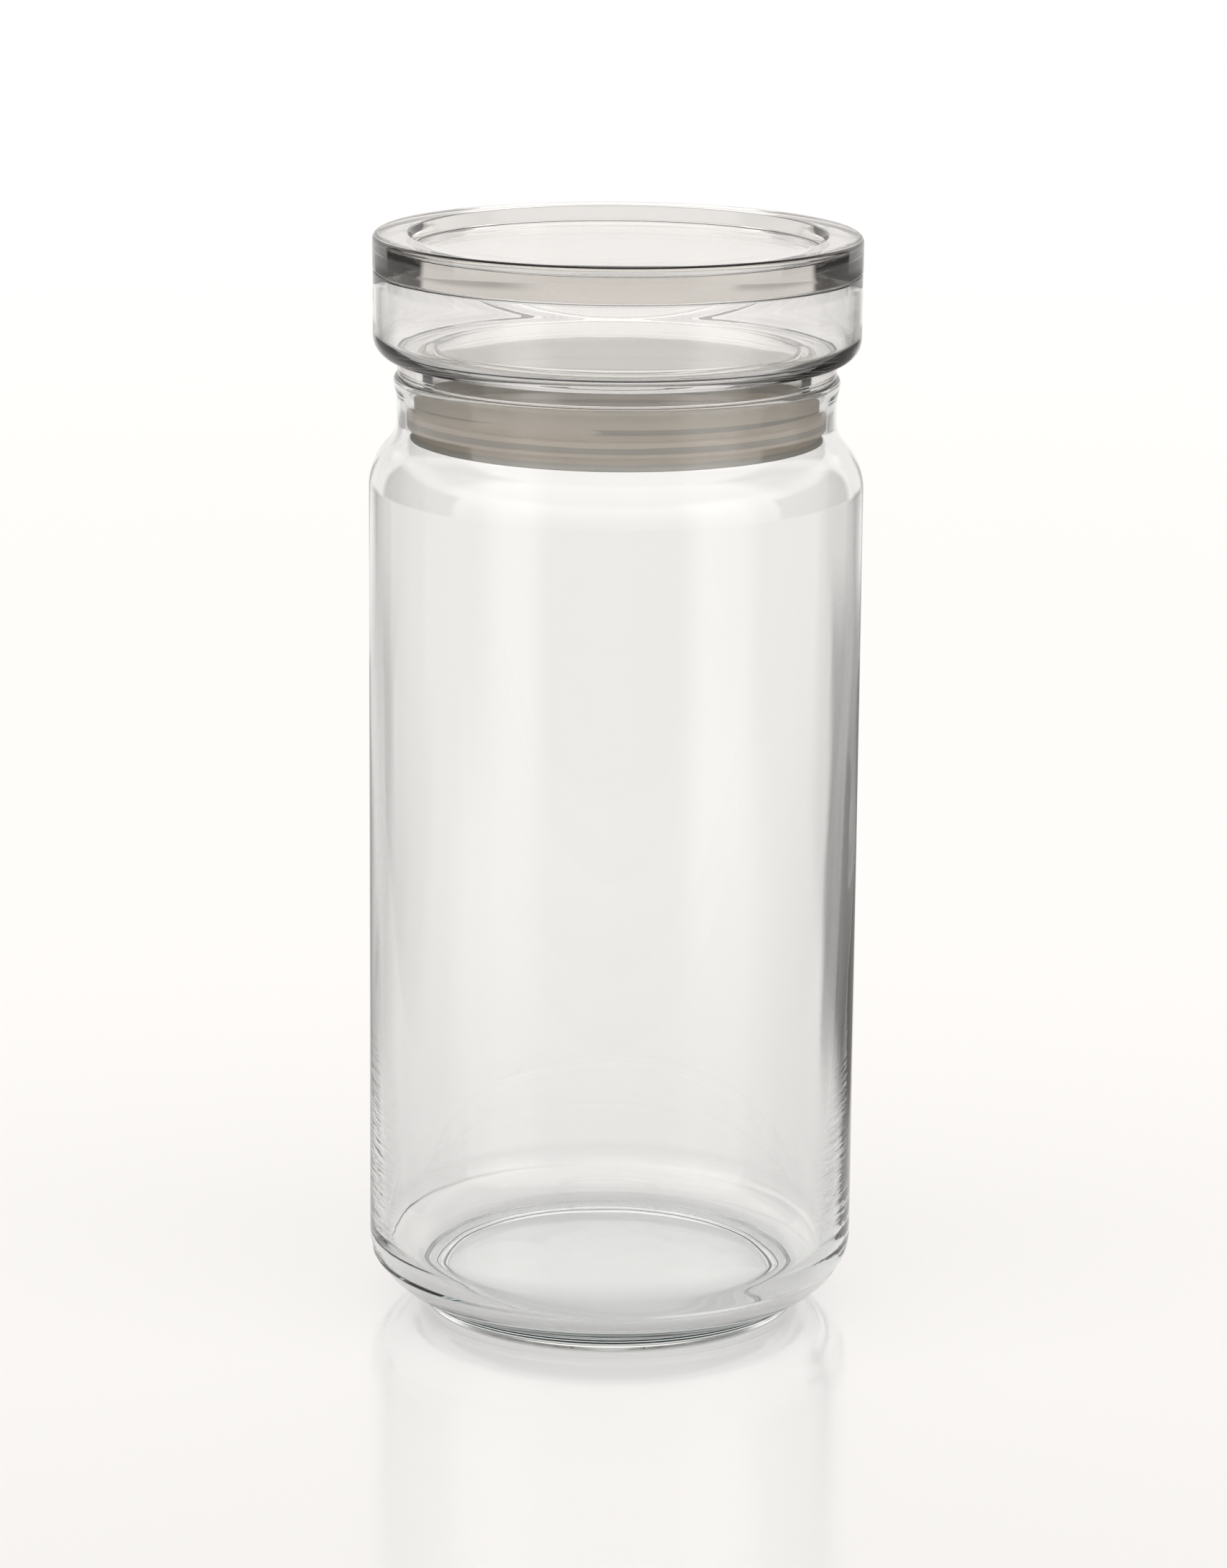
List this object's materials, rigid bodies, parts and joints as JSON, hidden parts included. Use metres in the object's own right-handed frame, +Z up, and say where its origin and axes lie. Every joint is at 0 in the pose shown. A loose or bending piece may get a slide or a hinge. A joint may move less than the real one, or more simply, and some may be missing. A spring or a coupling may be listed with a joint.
{
  "type": "lidded glass canister",
  "caption": "Tall cylindrical clear glass storage canister with a clear push-in lid; a translucent gasket seals the neck and a recess in the lid lets canisters stack.",
  "frame": {"origin": "centre of the circle that the jar's foot ring stands on", "axes": "+Z up along the canister's axis, from the foot to the lid; X and Y are equal, because the canister is round"},
  "size_m": [0.108, 0.108, 0.2404],
  "materials": {
    "jar_glass": "clear fire-polished soda-lime glass with a faint blue-green edge tint",
    "lid_clear_plastic": "clear moulded styrene-acrylonitrile plastic with a faint warm grey tint, polished",
    "gasket_silicone": "translucent milky silicone, satin"
  },
  "bodies": {
    "jar": {"glass_jar": "jar_glass"},
    "lid": {"lid_dish": "lid_clear_plastic", "lid_cup": "lid_clear_plastic", "gasket": "gasket_silicone"}
  },
  "joints": [
    {"name": "lid_lift", "type": "slide", "parent": "jar", "child": "lid", "axis": [0, 0, 1], "range_m": [0, 0.08]}
  ]
}
